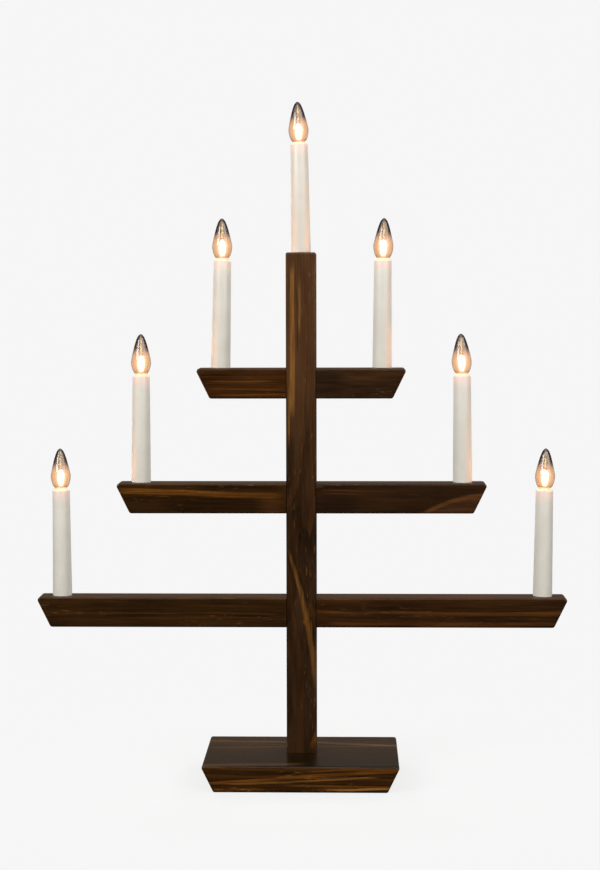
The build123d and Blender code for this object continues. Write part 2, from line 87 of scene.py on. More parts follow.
def feed(node, inputs):
    """Set or link a node's inputs by name or number."""
    for key, value in inputs.items():
        socket = node.inputs[key]
        if isinstance(value, bpy.types.NodeSocket):
            node.id_data.links.new(value, socket)
        else:
            socket.default_value = value


def add(tree, kind, inputs=None, **settings):
    """Place a node, set its options, then feed its inputs."""
    node = tree.nodes.new(kind)
    for key, value in settings.items():
        setattr(node, key, value)
    feed(node, inputs or {})
    return node


def calc(tree, operation, *values):
    """Arithmetic on numbers and outputs."""
    inputs = dict(enumerate(values))
    return add(tree, "ShaderNodeMath", inputs, operation=operation).outputs[0]


def times(tree, first, second):
    return calc(tree, "MULTIPLY", first, second)


def vector_calc(tree, operation, *values):
    """Arithmetic on vectors."""
    inputs = dict(enumerate(values))
    return add(tree, "ShaderNodeVectorMath", inputs, operation=operation).outputs[0]


def split(tree, vector):
    """The x, y and z of a vector, as three outputs."""
    return add(tree, "ShaderNodeSeparateXYZ", {0: vector}).outputs


def combine(tree, x=0.0, y=0.0, z=0.0):
    return add(tree, "ShaderNodeCombineXYZ", {0: x, 1: y, 2: z}).outputs[0]


def fade(tree, value, low, high, bottom=0.0, top=1.0):
    """Smooth step from bottom at low to top at high."""
    inputs = {"Value": value, "From Min": low, "From Max": high, "To Min": bottom, "To Max": top}
    return add(tree, "ShaderNodeMapRange", inputs, interpolation_type="SMOOTHSTEP").outputs[0]


def fade_down(tree, value, low, high):
    """Smooth step from 1 at low to 0 at high."""
    return fade(tree, value, low, high, 1.0, 0.0)


def noise(tree, position, stretch, detail=2.0, output="Fac"):
    """Noise whose lumps are 1/stretch metres long on each axis."""
    scaled = vector_calc(tree, "MULTIPLY", position, stretch)
    inputs = {"Vector": scaled, "Scale": 1.0, "Detail": detail}
    return add(tree, "ShaderNodeTexNoise", inputs).outputs[output]


def blend_colour(tree, amount, first, second):
    """The first colour where amount is 0, the second where it is 1."""
    inputs = {0: amount, 6: first, 7: second}
    return add(tree, "ShaderNodeMix", inputs, data_type="RGBA").outputs[2]


def rgb(red, green, blue):
    """An sRGB colour of 0 to 255 as Blender's linear colour."""

    def linear(value):
        value /= 255
        return value / 12.92 if value <= 0.04045 else ((value + 0.055) / 1.055) ** 2.4

    return (linear(red), linear(green), linear(blue), 1)


def dim(colour, share):
    """The same colour at a share of its brightness."""
    return tuple(part * share for part in colour[:3]) + (1,)


def start_group(name, inputs, outputs):
    """A shader node group. Its inputs are numbers and vectors, given with their defaults."""
    tree = bpy.data.node_groups.new(name, "ShaderNodeTree")
    for label, value in inputs.items():
        kind = "NodeSocketVector" if isinstance(value, tuple) else "NodeSocketFloat"
        socket = tree.interface.new_socket(label, in_out="INPUT", socket_type=kind)
        socket.default_value = value
    for label in outputs:
        tree.interface.new_socket(label, in_out="OUTPUT", socket_type="NodeSocketFloat")
    return tree, tree.nodes.new("NodeGroupInput").outputs, tree.nodes.new("NodeGroupOutput")


def use(tree, group, inputs):
    """Place a node group with its own values."""
    return add(tree, "ShaderNodeGroup", inputs, node_tree=group).outputs


# Shared effects


def make_grain_group():
    """Pine growth rings about a pith line, with fibres, seen on any face of the board."""
    tree, given, end = start_group(
        "pine_grain",
        {"Board": (0, 0, 0), "Pith": (0, 0, -0.06), "Ring Spacing": 0.005, "Wander": 0.01, "Seed": 0.0},
        ("Band", "Line", "Fibre", "Blotch", "Fleck", "Height"),
    )
    seed = combine(tree, given["Seed"], given["Seed"], given["Seed"])
    spot = vector_calc(tree, "ADD", given["Board"], seed)

    # The rings sway slowly along the board and wobble in between
    drift = vector_calc(tree, "SUBTRACT", noise(tree, spot, (5.0, 20.0, 20.0), 1.5, "Color"), (0.5, 0.5, 0.5))
    sway = {0: drift, "Scale": given["Wander"]}
    sway = add(tree, "ShaderNodeVectorMath", sway, operation="SCALE").outputs[0]
    bent = vector_calc(tree, "ADD", given["Board"], sway)
    away = split(tree, vector_calc(tree, "SUBTRACT", bent, given["Pith"]))
    squares = [times(tree, away[axis], away[axis]) for axis in (1, 2)]
    reach = calc(tree, "SQRT", calc(tree, "ADD", *squares))
    rings = calc(tree, "DIVIDE", reach, given["Ring Spacing"])
    wobble = times(tree, noise(tree, spot, (9.0, 90.0, 90.0), 3.0), 0.7)
    ring = calc(tree, "FRACT", calc(tree, "ADD", rings, wobble))

    # A ring darkens into a broken band that ends in a thin line
    band = times(tree, fade(tree, ring, 0.3, 0.8), fade_down(tree, ring, 0.84, 0.9))
    broken = fade(tree, noise(tree, spot, (8.0, 170.0, 170.0), 3.0), 0.38, 0.62)
    band = times(tree, band, calc(tree, "MULTIPLY_ADD", broken, 0.85, 0.15))
    line = times(tree, fade(tree, ring, 0.84, 0.9), fade_down(tree, ring, 0.93, 1.0))

    # Fibres run along the board, the stain takes in blotches, and gold flecks stand in clusters
    fine = fade(tree, noise(tree, spot, (60.0, 1500.0, 1500.0), 2.0), 0.32, 0.68)
    coarse = fade(tree, noise(tree, spot, (18.0, 460.0, 460.0), 3.0), 0.34, 0.66)
    fibre = calc(tree, "MULTIPLY_ADD", coarse, 0.6, times(tree, fine, 0.4))
    blotch = fade(tree, noise(tree, spot, (13.0, 44.0, 60.0), 4.0), 0.32, 0.68)
    cluster = fade(tree, noise(tree, spot, (10.0, 70.0, 70.0), 2.0), 0.42, 0.66)
    fleck = fade(tree, noise(tree, spot, (95.0, 640.0, 640.0), 2.0), 0.6, 0.72)
    fleck = times(tree, fleck, cluster)
    height = calc(tree, "MULTIPLY_ADD", band, 0.5, fibre)
    results = {"Band": band, "Line": line, "Fibre": fibre, "Blotch": blotch, "Fleck": fleck, "Height": height}
    feed(end, results)
    return tree


def make_streak_group():
    """One growth layer that shows as a streak along a board, sharp above and soft below."""
    tree, given, end = start_group(
        "growth_streak",
        {
            "Board": (0, 0, 0), "Front": -0.009, "Depth": 1.0, "Across": 0.0, "Slope": 0.0, "Curve": 0.0,
            "Width": 0.004, "Widening": 0.0, "From": -1.0, "To": 1.0, "End Fade": 0.02, "Seed": 0.0,
        },
        ("Mask",),
    )
    rise_backwards = 0.12
    ripple_height = 0.004
    thinnest = 0.0008
    parts = split(tree, given["Board"])
    along = parts[0]
    line = calc(tree, "MULTIPLY_ADD", along, given["Slope"], given["Across"])
    line = calc(tree, "MULTIPLY_ADD", times(tree, along, along), given["Curve"], line)
    behind = calc(tree, "SUBTRACT", parts[1], given["Front"])
    line = calc(tree, "MULTIPLY_ADD", behind, rise_backwards, line)
    spot = vector_calc(tree, "ADD", given["Board"], combine(tree, given["Seed"], 0.0, given["Seed"]))
    ripple = calc(tree, "SUBTRACT", noise(tree, spot, (16.0, 60.0, 60.0), 3.0), 0.5)
    line = calc(tree, "MULTIPLY_ADD", ripple, ripple_height, line)
    width = calc(tree, "MULTIPLY_ADD", along, given["Widening"], given["Width"])
    width = calc(tree, "MAXIMUM", width, thinnest)
    offset = calc(tree, "DIVIDE", calc(tree, "SUBTRACT", parts[2], line), width)
    mask = times(tree, fade_down(tree, offset, 0.36, 0.5), fade(tree, offset, -0.6, -0.25))
    first = calc(tree, "DIVIDE", calc(tree, "SUBTRACT", along, given["From"]), given["End Fade"])
    last = calc(tree, "DIVIDE", calc(tree, "SUBTRACT", given["To"], along), given["End Fade"])
    mask = times(tree, mask, fade(tree, first, 0.0, 1.0))
    mask = times(tree, mask, fade(tree, last, 0.0, 1.0))
    deep = calc(tree, "DIVIDE", behind, given["Depth"])
    mask = times(tree, mask, fade_down(tree, deep, 0.5, 1.0))
    threads = fade(tree, noise(tree, spot, (22.0, 600.0, 600.0), 3.0), 0.34, 0.62, 0.35, 1.0)
    feed(end, {"Mask": times(tree, mask, threads)})
    return tree


def make_edge_group():
    """Where a board's long edges have been rubbed lighter."""
    tree, given, end = start_group(
        "rubbed_edge",
        {"Board": (0, 0, 0), "Centre": (0, 0, 0), "Half": (1, 0.015, 0.015), "Reach": 0.0025},
        ("Mask",),
    )
    inside = vector_calc(tree, "SUBTRACT", given["Board"], given["Centre"])
    inside = vector_calc(tree, "SUBTRACT", given["Half"], vector_calc(tree, "ABSOLUTE", inside))
    parts = split(tree, inside)
    deeper = calc(tree, "MAXIMUM", parts[1], parts[2])
    mask = fade_down(tree, calc(tree, "DIVIDE", deeper, given["Reach"]), 0.2, 1.0)
    rubbed = fade(tree, noise(tree, given["Board"], (60.0, 300.0, 300.0), 4.0), 0.42, 0.7)
    feed(end, {"Mask": times(tree, mask, rubbed)})
    return tree


def make_surface_group():
    """Faint mottling and fine bumps of a moulded or rolled surface."""
    tree, given, end = start_group(
        "fine_surface",
        {"Position": (0, 0, 0), "Lumps": 90.0, "Grit": 2500.0},
        ("Mottle", "Height"),
    )
    lumps = {"Vector": given["Position"], "Scale": given["Lumps"], "Detail": 3.0}
    grit = {"Vector": given["Position"], "Scale": given["Grit"], "Detail": 2.0}
    mottle = fade(tree, add(tree, "ShaderNodeTexNoise", lumps).outputs["Fac"], 0.3, 0.7)
    grains = add(tree, "ShaderNodeTexNoise", grit).outputs["Fac"]
    height = calc(tree, "MULTIPLY_ADD", grains, 0.3, mottle)
    feed(end, {"Mottle": mottle, "Height": height})
    return tree


# Materials


def start_material(name):
    """A material with its tree, its shader and the position on the object."""
    material = bpy.data.materials.new(name)
    material.use_nodes = True
    tree = material.node_tree
    position = add(tree, "ShaderNodeTexCoord").outputs["Object"]
    return material, tree, shader_of(material), position


def shader_of(material):
    return material.node_tree.nodes["Principled BSDF"]


def bump(tree, height, distance, strength=1.0):
    """A normal that follows a height. Distance is the bumps' depth in metres."""
    inputs = {"Height": height, "Distance": distance, "Strength": strength}
    return add(tree, "ShaderNodeBump", inputs).outputs[0]


# Wood

# Colours of the stain, from the darkest to where it has hardly taken
black_stain = rgb(14, 7, 1)
dark_stain = rgb(30, 15, 2)
band_stain = rgb(80, 45, 13)
russet = rgb(92, 54, 22)
edge_stain = rgb(110, 72, 36)
amber = rgb(112, 66, 18)
gold = rgb(150, 102, 46)

# The varnish's shine and roughness, and the depth in metres of the grain under it
varnish_shine = 0.22
varnish_rough = (0.24, 0.32)
grain_relief = 0.00006

# How strongly rubbed edges, the rings' dark lines and a post's paler end show
edge_rub = 0.15
line_share = 0.8
paling_share = 0.55

# How far the seeds of a board's streaks, and of those on its top, lie apart
seed_step = 0.37
top_seed_step = 5


def streak(
    across, width, start, stop,
    slope=0.0, curve=0.0, widening=0.0, amount=0.8, colour=amber, depth=1.0,
):
    """A growth layer on a board's front, in metres along the board and up from its middle."""
    inputs = {
        "Across": across, "Slope": slope, "Curve": curve, "Width": width,
        "Widening": widening, "Depth": depth, "From": start, "To": stop,
    }
    return inputs, amount, colour


def lay_streaks(tree, board, middle, front, colour, streaks, seed):
    """Paint growth layers over a board's colour, one after the other."""
    for number, (sizes, amount, layer_colour) in enumerate(streaks):
        inputs = {**sizes, "Board": board, "Front": front, "Seed": seed + number * seed_step}
        inputs["Across"] += middle
        mask = use(tree, groups["streak"], inputs)["Mask"]
        colour = blend_colour(tree, times(tree, mask, amount), colour, layer_colour)
    return colour


def dress(name, material):
    """Give a node of the frame its finish."""
    nodes[name].material_slots[0].material = material


def board_box(name, order):
    """Middle and half size of a board of the frame, in the order along, depth and across."""
    low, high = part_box(name)
    middle = [(low[axis] + high[axis]) / 2 for axis in order]
    half = [(high[axis] - low[axis]) / 2 for axis in order]
    return middle, half


def stain_board(
    name, pith, spacing, seed, low, high, bands, flecks,
    fibres=0.5, wander=0.01, upright=False, lighter=None, streaks=(), top_streaks_and_sheen=(),
):
    """Stain a pine board of the frame brown and varnish it. Its axes are along, depth and across.

    The pith is the heart of the trunk that the board was sawn from, in metres. Low and high are the
    stain's darkest and palest colours, and lighter gives the heights between which a post turns pale.
    """
    material, tree, shader, position = start_material(name + "_stain")
    parts = split(tree, position)
    order = (2, 1, 0) if upright else (0, 1, 2)
    centre, half = board_box(name, order)
    board = combine(tree, *(parts[axis] for axis in order))
    inputs = {"Board": board, "Pith": pith, "Ring Spacing": spacing, "Wander": wander, "Seed": seed}
    grain = use(tree, groups["grain"], inputs)
    shade = calc(tree, "MULTIPLY_ADD", grain["Blotch"], 1 - fibres, times(tree, grain["Fibre"], fibres))
    if lighter:
        upwards = fade(tree, parts[order[0]], *lighter)
        shade = calc(tree, "MULTIPLY_ADD", shade, 1 - paling_share, times(tree, upwards, paling_share))
    colour = blend_colour(tree, shade, low, high)
    colour = blend_colour(tree, times(tree, grain["Band"], bands), colour, band_stain)
    colour = blend_colour(tree, times(tree, grain["Line"], bands * line_share), colour, black_stain)
    colour = lay_streaks(tree, board, centre[2], centre[1] - half[1], colour, streaks, seed)
    colour = blend_colour(tree, times(tree, grain["Fleck"], flecks), colour, gold)
    edge = use(tree, groups["edge"], {"Board": board, "Centre": centre, "Half": half})["Mask"]
    colour = blend_colour(tree, times(tree, edge, edge_rub), colour, edge_stain)
    if top_streaks_and_sheen:
        top = centre[2] + half[2]
        colour = top_stain_and_painted_shade(tree, parts, colour, top, top_streaks_and_sheen, seed + top_seed_step)
    varnish = {
        "Base Color": colour,
        "Roughness": fade(tree, grain["Fibre"], 0.0, 1.0, *varnish_rough),
        "Specular IOR Level": varnish_shine,
        "Normal": bump(tree, grain["Height"], grain_relief, 0.5),
    }
    feed(shader, varnish)
    dress(name, material)


def top_stain_and_painted_shade(tree, parts, colour, height, streaks, seed):
    """A flat top stained darker, with painted shade that deepens it towards the front, and streaks and
    painted sheen lines laid over it.
    """
    shade_front = -0.045
    shade_back = 0.05
    skin = 0.0012
    # Painted shade: the top turns darker towards the front, over a darker stain
    stain_and_painted_shade = fade(tree, parts[1], shade_front, shade_back, 0.95, 0.35)
    above_colour = blend_colour(tree, stain_and_painted_shade, colour, black_stain)
    drop = times(tree, parts[2], -1.0)
    board = combine(tree, parts[0], drop, parts[1])
    above_colour = lay_streaks(tree, board, 0.0, -height, above_colour, streaks, seed)
    above = fade(tree, parts[2], height - skin, height - skin / 6)
    return blend_colour(tree, above, colour, above_colour)


# Plastic, metal and glass

# How deep each surface's bumps are, in metres
plastic_relief = 0.00003
metal_relief = 0.00002
glass_relief = 0.000006

unlit = (0, 0, 0, 1)


def mottled(name, dark, pale, rough, relief, metallic=0.0, **sizes):
    """A material whose colour and gloss change faintly over its surface."""
    material, tree, shader, position = start_material(name)
    surface = use(tree, groups["surface"], {"Position": position, **sizes})
    skin = {
        "Base Color": blend_colour(tree, surface["Mottle"], dark, pale),
        "Roughness": fade(tree, surface["Mottle"], 0.0, 1.0, *rough),
        "Metallic": metallic,
        "Normal": bump(tree, surface["Height"], relief),
    }
    feed(shader, skin)
    return material, tree, shader, position


def moulded_plastic(name, colour, roughness, variation=0.12, grit=2500.0):
    rough = (roughness * 0.9, roughness * 1.1)
    return mottled(name, dim(colour, 1 - variation), colour, rough, plastic_relief, Grit=grit)[0]


def worn_metal(name, colour, roughness):
    rough = (roughness * 0.8, roughness * 1.3)
    dull = dim(colour, 0.75)
    return mottled(name, dull, colour, rough, metal_relief, metallic=1.0, Lumps=400.0, Grit=6000.0)[0]


def candle_plastic(name, rim_height):
    """Ivory tube with a painted warm glow below its rim, standing in for the lamp's light shining through the
    plastic.
    """
    ivory = rgb(219, 214, 203)
    pale_ivory = rgb(223, 219, 208)
    # Painted glow: warm emission below the rim that stands in for lamplight
    glow = rgb(122, 56, 42)
    lit_length = 0.015
    rough = (0.3, 0.38)
    found = mottled(name, ivory, pale_ivory, rough, plastic_relief, Lumps=60.0, Grit=1800.0)
    material, tree, shader, position = found
    warm = fade(tree, split(tree, position)[2], rim_height - lit_length, rim_height)
    feed(shader, {"Emission Color": blend_colour(tree, warm, unlit, glow), "Emission Strength": 1.0})
    return material


def lit_collar():
    """Pale holder plastic with a painted glow that stands in for the lamp above shining into it."""
    material = moulded_plastic("holder_plastic", rgb(238, 230, 208), 0.4)
    feed(shader_of(material), {"Emission Color": rgb(240, 214, 160), "Emission Strength": 0.35})
    return material


def clear_to_shadow_rays(tree, shader):
    """Let the light that casts shadows through."""
    clear = add(tree, "ShaderNodeBsdfTransparent").outputs[0]
    shadow = add(tree, "ShaderNodeLightPath").outputs["Is Shadow Ray"]
    joined = add(tree, "ShaderNodeMixShader", {0: shadow, 1: shader.outputs[0], 2: clear}).outputs[0]
    feed(tree.nodes["Material Output"], {"Surface": joined})


def lamp_glass_material(name, rim_height):
    """Clear glass, smoky towards the tip, with painted dark edges above and painted brown edges below. Shadow
    rays pass through it.

    The heights between which its tint changes are in metres above the tube's rim.
    """
    neck_shade_end = (0.004, 0.0075)
    smoke_start = (0.0185, 0.029)
    tip_dark_start = (0.03, 0.042)
    material, tree, shader, position = start_material(name)
    height = calc(tree, "SUBTRACT", split(tree, position)[2], rim_height)
    facing = add(tree, "ShaderNodeLayerWeight", {"Blend": 0.5}).outputs["Facing"]
    # Painted shade: the lower glass turns brown towards its edges and near the neck, standing in for dark
    # surroundings seen through it
    lower = blend_colour(tree, fade(tree, facing, 0.45, 0.75), rgb(255, 250, 244), rgb(176, 124, 84))
    neck = times(tree, fade_down(tree, height, *neck_shade_end), fade(tree, facing, 0.2, 0.6))
    lower = blend_colour(tree, neck, lower, rgb(190, 140, 100))
    # Painted shade: the upper glass darkens towards its edges, and it is also darker towards the tip
    painted_rim_shade_and_tip = calc(tree, "ADD", facing, fade(tree, height, *tip_dark_start, 0.0, 0.14))
    upper = blend_colour(tree, fade(tree, painted_rim_shade_and_tip, 0.18, 0.5), rgb(194, 180, 169), rgb(12, 9, 7))
    smoky = fade(tree, height, *smoke_start)
    surface = use(tree, groups["surface"], {"Position": position, "Lumps": 90.0, "Grit": 500.0})
    blown_glass = {
        "Base Color": blend_colour(tree, smoky, lower, upper),
        "Roughness": 0.02,
        "IOR": 1.47,
        "Transmission Weight": 1.0,
        "Normal": bump(tree, surface["Height"], glass_relief),
    }
    feed(shader, blown_glass)
    clear_to_shadow_rays(tree, shader)
    return material


def glow_material(name, shell, rim_height):
    """A soft shell of lamplight that fades out upwards; a shredded shell is a painted glint."""
    material, tree, shader, position = start_material(name)
    height = calc(tree, "SUBTRACT", split(tree, position)[2], rim_height)
    raggedness = 0.008
    lumps = noise(tree, position, (420.0, 420.0, 110.0))
    ragged = calc(tree, "MULTIPLY_ADD", lumps, raggedness, -raggedness / 2)
    height = calc(tree, "ADD", height, ragged)
    solid = fade(tree, height, shell["full"] * mm, shell["gone"] * mm, shell["alpha"], 0.0)
    if shell.get("shredded"):
        shreds = fade(tree, noise(tree, position, (800.0, 800.0, 420.0)), 0.48, 0.56)
        solid = times(tree, solid, shreds)
    warm = noise(tree, position, (300.0, 300.0, 120.0))
    light = {
        "Base Color": unlit,
        "Roughness": 1.0,
        "Specular IOR Level": 0.0,
        "Alpha": solid,
        "Emission Color": blend_colour(tree, warm, dim(shell["colour"], 0.85), shell["colour"]),
        "Emission Strength": shell["strength"],
    }
    feed(shader, light)
    clear_to_shadow_rays(tree, shader)
    return material


def hot_filament():
    material, tree, shader, position = start_material("hot_filament")
    heat = noise(tree, position, (900.0, 900.0, 900.0))
    colour = blend_colour(tree, heat, (1.0, 0.62, 0.25, 1), (1.0, 0.8, 0.5, 1))
    feed(shader, {"Emission Color": colour, "Emission Strength": 6.0})
    return material


# Turned pieces


def turned(name, profile, place, material=None, segments=72, closed=True):
    """Turn a profile of (radius, height) in millimetres about the z axis of a frame."""
    rings = []
    vertices = []
    for radius, height in profile:
        if radius == 0:
            rings.append([len(vertices)])
            vertices.append(place @ Vector((0, 0, height * mm)))
            continue
        rings.append(list(range(len(vertices), len(vertices) + segments)))
        for step in range(segments):
            angle = math.tau * step / segments
            spot = Vector((radius * mm * math.cos(angle), radius * mm * math.sin(angle), height * mm))
            vertices.append(place @ spot)
    faces = []
    pairs = list(zip(rings, rings[1:]))
    if closed:
        pairs.append((rings[-1], rings[0]))
    for lower, upper in pairs:
        if len(lower) == 1 and len(upper) == 1:
            continue
        for step in range(segments):
            after = (step + 1) % segments
            if len(lower) == 1:
                faces.append((lower[0], upper[after], upper[step]))
            elif len(upper) == 1:
                faces.append((lower[step], lower[after], upper[0]))
            else:
                faces.append((lower[step], lower[after], upper[after], upper[step]))
    mesh = bpy.data.meshes.new(name)
    mesh.from_pydata(vertices, [], faces)
    mesh.update()
    return put_in_scene(name, mesh, material)


def put_in_scene(name, mesh, material=None):
    """An object of this mesh, smooth but for its corners."""
    corner_angle = math.radians(40)
    mesh.polygons.foreach_set("use_smooth", [True] * len(mesh.polygons))
    mesh.set_sharp_from_angle(angle=corner_angle)
    if material:
        mesh.materials.append(material)
    return new_object(name, mesh)


def rounded(points, radius, steps=4):
    """Round the corners of a closed profile."""
    result = []
    for number, corner in enumerate(points):
        before = Vector(points[number - 1])
        after = Vector(points[(number + 1) % len(points)])
        corner = Vector(corner)
        back = before - corner
        onward = after - corner
        cut = min(radius, back.length * 0.45, onward.length * 0.45)
        first = corner + back.normalized() * cut
        last = corner + onward.normalized() * cut
        for step in range(steps + 1):
            share = step / steps
            spot = first * (1 - share) ** 2 + corner * 2 * share * (1 - share) + last * share**2
            result.append((spot.x, spot.y))
    return result


def through(points, steps=8):
    """A smooth line through points, as more points."""
    spots = [Vector(point) for point in points]
    spots = [2 * spots[0] - spots[1]] + spots + [2 * spots[-1] - spots[-2]]
    result = []
    for before, first, last, after in zip(spots, spots[1:], spots[2:], spots[3:]):
        for step in range(steps):
            share = step / steps
            spot = (
                2 * first
                + (last - before) * share
                + (2 * before - 5 * first + 4 * last - after) * share**2
                + (3 * first - before - 3 * last + after) * share**3
            ) / 2
            result.append((spot.x, spot.y))
    result.append(tuple(points[-1]))
    return result


# Candles and lamps

# Tube: sizes in millimetres, heights counted up from its foot along its axis
rim = 106.2
foot_radius = 9.6
rim_radius = 8.6
tube_wall = 1.1
lip_radius = 6.9
lip_depth = 1.6
tube_edge = 0.5

# Lamp holder: a cup in the tube's mouth with a collar on its rim
holder_radius = 6.75
holder_foot_drop = 22.0
collar_radius = 7.5
collar_height = 2.2
collar_wall = 0.8
cup_radius = 5.2
cup_top_drop = 4.4
cup_floor_drop = 14.9
lead_hole_radius = 0.9
holder_edge = 0.35

# Lamp cap: its wall, the radius of its foot's opening, and the thread rolled into it
cap_mouth = rim - 3.8
cap_foot = cap_mouth - 9.5
cap_radius = 4.65
cap_root_radius = 4.4
cap_wall = 0.25
cap_floor = 0.6
cap_bend = 0.2
cap_opening = 3.9
thread_start = 1.2

# Glass of the lamp
neck_foot = cap_mouth - 3.0
neck_radius = 4.3
seat = rim + collar_height
seat_radius = 6.2
bulb_radius = 9.9
bulb_height = 39.8
tip = seat + bulb_height
glass_wall = 0.6

# Outline of the glass above its seat: share of the bulb's radius and of its height
bulb_shares = [(0.85, 0.1), (1.0, 0.285), (0.88, 0.475), (0.595, 0.755), (0.36, 0.915)]

# The point of the glass, outside and inside: radius, and how far it lies below the tip
nose_points = [(1.9, 1.1), (0.9, 0.25), (0, 0)]
hollow_points = [(1.3, 1.9), (0.6, 1.35), (0, 1.2)]

# Pressed stem of the mount: radius, and height above the neck's foot
stem_height = 12.0
stem_points = [(0, 0), (3.6, 0), (3.3, 0.8), (2.1, 2.2), (1.8, 8), (2, 10.5), (1.6, 11.7), (0, stem_height)]

# Wires on the stem that hold the filament: how far apart they start and end, and how high they reach
support_radius = 0.25
support_foot_spread = 0.75
support_foot_sink = 1.0
support_spread = 3.0
support_height = 9.0

# Where the lamp's light comes from, above the tube's rim
lamp_light_height = 13.0

# How crooked each glass stands in its cap, in degrees towards +X
tilt = {
    "top": -1.4,
    "upper_left": -1.6,
    "upper_right": 1.2,
    "middle_left": -0.5,
    "middle_right": -1.4,
    "lower_left": -0.6,
    "lower_right": 0.9,
}

# Shells of light round a lit filament, in millimetres above the tube's rim. Low and high are a shell's
# ends, and its light fades from full to gone. Share is its part of the bulb's inner width
glow_shells = {
    "outer": dict(
        low=2.6, high=32.0, share=0.985, taper=0.1,
        colour=rgb(240, 170, 106), strength=1.0, alpha=0.6, full=18.5, gone=30.0,
    ),
    "mid": dict(
        low=2.7, high=25.0, share=0.78, taper=0.45,
        colour=rgb(255, 216, 172), strength=1.4, alpha=0.5, full=15.5, gone=25.0,
    ),
    "halo": dict(
        low=2.8, high=23.0, share=0.58, taper=0.5,
        colour=rgb(255, 244, 228), strength=2.1, alpha=0.5, full=15.5, gone=23.0,
    ),
    "core": dict(
        low=2.9, high=21.2, share=0.41, taper=0.5,
        colour=rgb(255, 253, 250), strength=8.5, alpha=0.97, full=18.5, gone=21.5,
    ),
    # A painted glint: a broken bright streak up the axis, standing in for the filament's reflection in the
    # glass
    "painted_glint": dict(
        low=22.5, high=40.0, share=0.19, taper=0.3, shredded=True,
        colour=rgb(255, 232, 180), strength=2.4, alpha=0.7, full=33.0, gone=42.5,
    ),
}


def candle_frames():
    """The tube's and the lamp's frames of each candle, from the joints' axes."""
    found = {}
    for joint in frame["joints"]:
        name = joint["name"]
        if not name.endswith("_turn"):
            continue
        name = name.removeprefix("lamp_").removesuffix("_turn")
        mouth = Vector(joint["pos_m"])
        along = Vector(joint["axis"]).normalized()
        lean = math.atan2(along.x, along.z)
        tube = Matrix.Translation(mouth - along * cap_mouth * mm) @ Matrix.Rotation(lean, 4, "Y")
        angle = lean + math.radians(tilt[name])
        crooked = Vector((math.sin(angle), 0, math.cos(angle)))
        lamp = Matrix.Translation(mouth - crooked * cap_mouth * mm) @ Matrix.Rotation(angle, 4, "Y")
        found[name] = (tube, lamp)
    return found


def tube_profile():
    middle_radius = (foot_radius + rim_radius) / 2
    corners = [
        (foot_radius - tube_wall, 0),
        (foot_radius, 0),
        (middle_radius, rim / 2),
        (rim_radius, rim),
        (lip_radius, rim),
        (lip_radius, rim - lip_depth),
        (rim_radius - tube_wall, rim - lip_depth),
        (middle_radius - tube_wall, rim / 2),
    ]
    return rounded(corners, tube_edge)


def holder_profile():
    corners = [
        (lead_hole_radius, rim - holder_foot_drop),
        (holder_radius, rim - holder_foot_drop),
        (holder_radius, rim),
        (collar_radius, rim),
        (collar_radius, rim + collar_height),
        (collar_radius - collar_wall, rim + collar_height),
        (cup_radius, rim - cup_top_drop),
        (cup_radius, rim - cup_floor_drop),
        (lead_hole_radius, rim - cup_floor_drop),
    ]
    return rounded(corners, holder_edge)


def cap_profile():
    """The cap's thin wall, flared at its mouth, with the lip of its foot."""
    inside_radius = cap_root_radius - cap_wall
    return [
        (cap_opening, cap_foot),
        (cap_root_radius - cap_bend, cap_foot),
        (cap_root_radius, cap_foot + cap_floor),
        (cap_root_radius, cap_mouth - 2 * cap_bend),
        (cap_radius, cap_mouth - cap_bend),
        (cap_radius, cap_mouth),
        (cap_root_radius, cap_mouth),
        (inside_radius, cap_mouth - 2 * cap_wall),
        (inside_radius, cap_foot + cap_floor + cap_bend),
        (cap_opening, cap_foot + cap_floor),
    ]


def glass_profile():
    """Up the outside of the bulb, over its tip and down the inside."""
    outside = [(neck_radius, cap_mouth), (seat_radius, seat)]
    outside += [(bulb_radius * across, seat + bulb_height * up) for across, up in bulb_shares]
    inside = [(radius - glass_wall, height) for radius, height in outside]
    nose = [(radius, tip - drop) for radius, drop in nose_points]
    hollow = [(radius, tip - drop) for radius, drop in hollow_points]
    up = [(neck_radius, neck_foot)] + through(outside + nose)
    down = through(inside + hollow)[::-1] + [(neck_radius - glass_wall, neck_foot)]
    return up, down


def glow_profile(shell):
    """A closed shell inside the bulb: a share of its inner radius, drawn in towards both ends."""
    low = rim + shell["low"]
    high = rim + shell["high"]
    spots = [(0, low)]
    for radius, height in glass_profile()[0]:
        if low < height < high:
            up = (height - low) / (high - low)
            bulge = (4 * up * (1 - up)) ** shell["taper"]
            spots.append(((radius - glass_wall) * shell["share"] * bulge, height))
    return spots + [(0, high)]


# Trees for wound pieces


def start_tree(name, sizes):
    """A Geometry Nodes tree with an input for each size and one for the material."""
    tree = bpy.data.node_groups.new(name, "GeometryNodeTree")
    tree.interface.new_socket("Geometry", in_out="INPUT", socket_type="NodeSocketGeometry")
    for label, value in sizes.items():
        socket = tree.interface.new_socket(label, in_out="INPUT", socket_type="NodeSocketFloat")
        socket.default_value = value
    tree.interface.new_socket("Material", in_out="INPUT", socket_type="NodeSocketMaterial")
    tree.interface.new_socket("Geometry", in_out="OUTPUT", socket_type="NodeSocketGeometry")
    return tree, tree.nodes.new("NodeGroupInput").outputs, tree.nodes.new("NodeGroupOutput")


def end_tree(tree, given, end, geometry):
    """Make the result real and give it its material."""
    real = add(tree, "GeometryNodeRealizeInstances", {0: geometry}).outputs[0]
    done = add(tree, "GeometryNodeSetMaterial", {"Geometry": real, "Material": given["Material"]}).outputs[0]
    tree.links.new(done, end.inputs[0])
    return tree


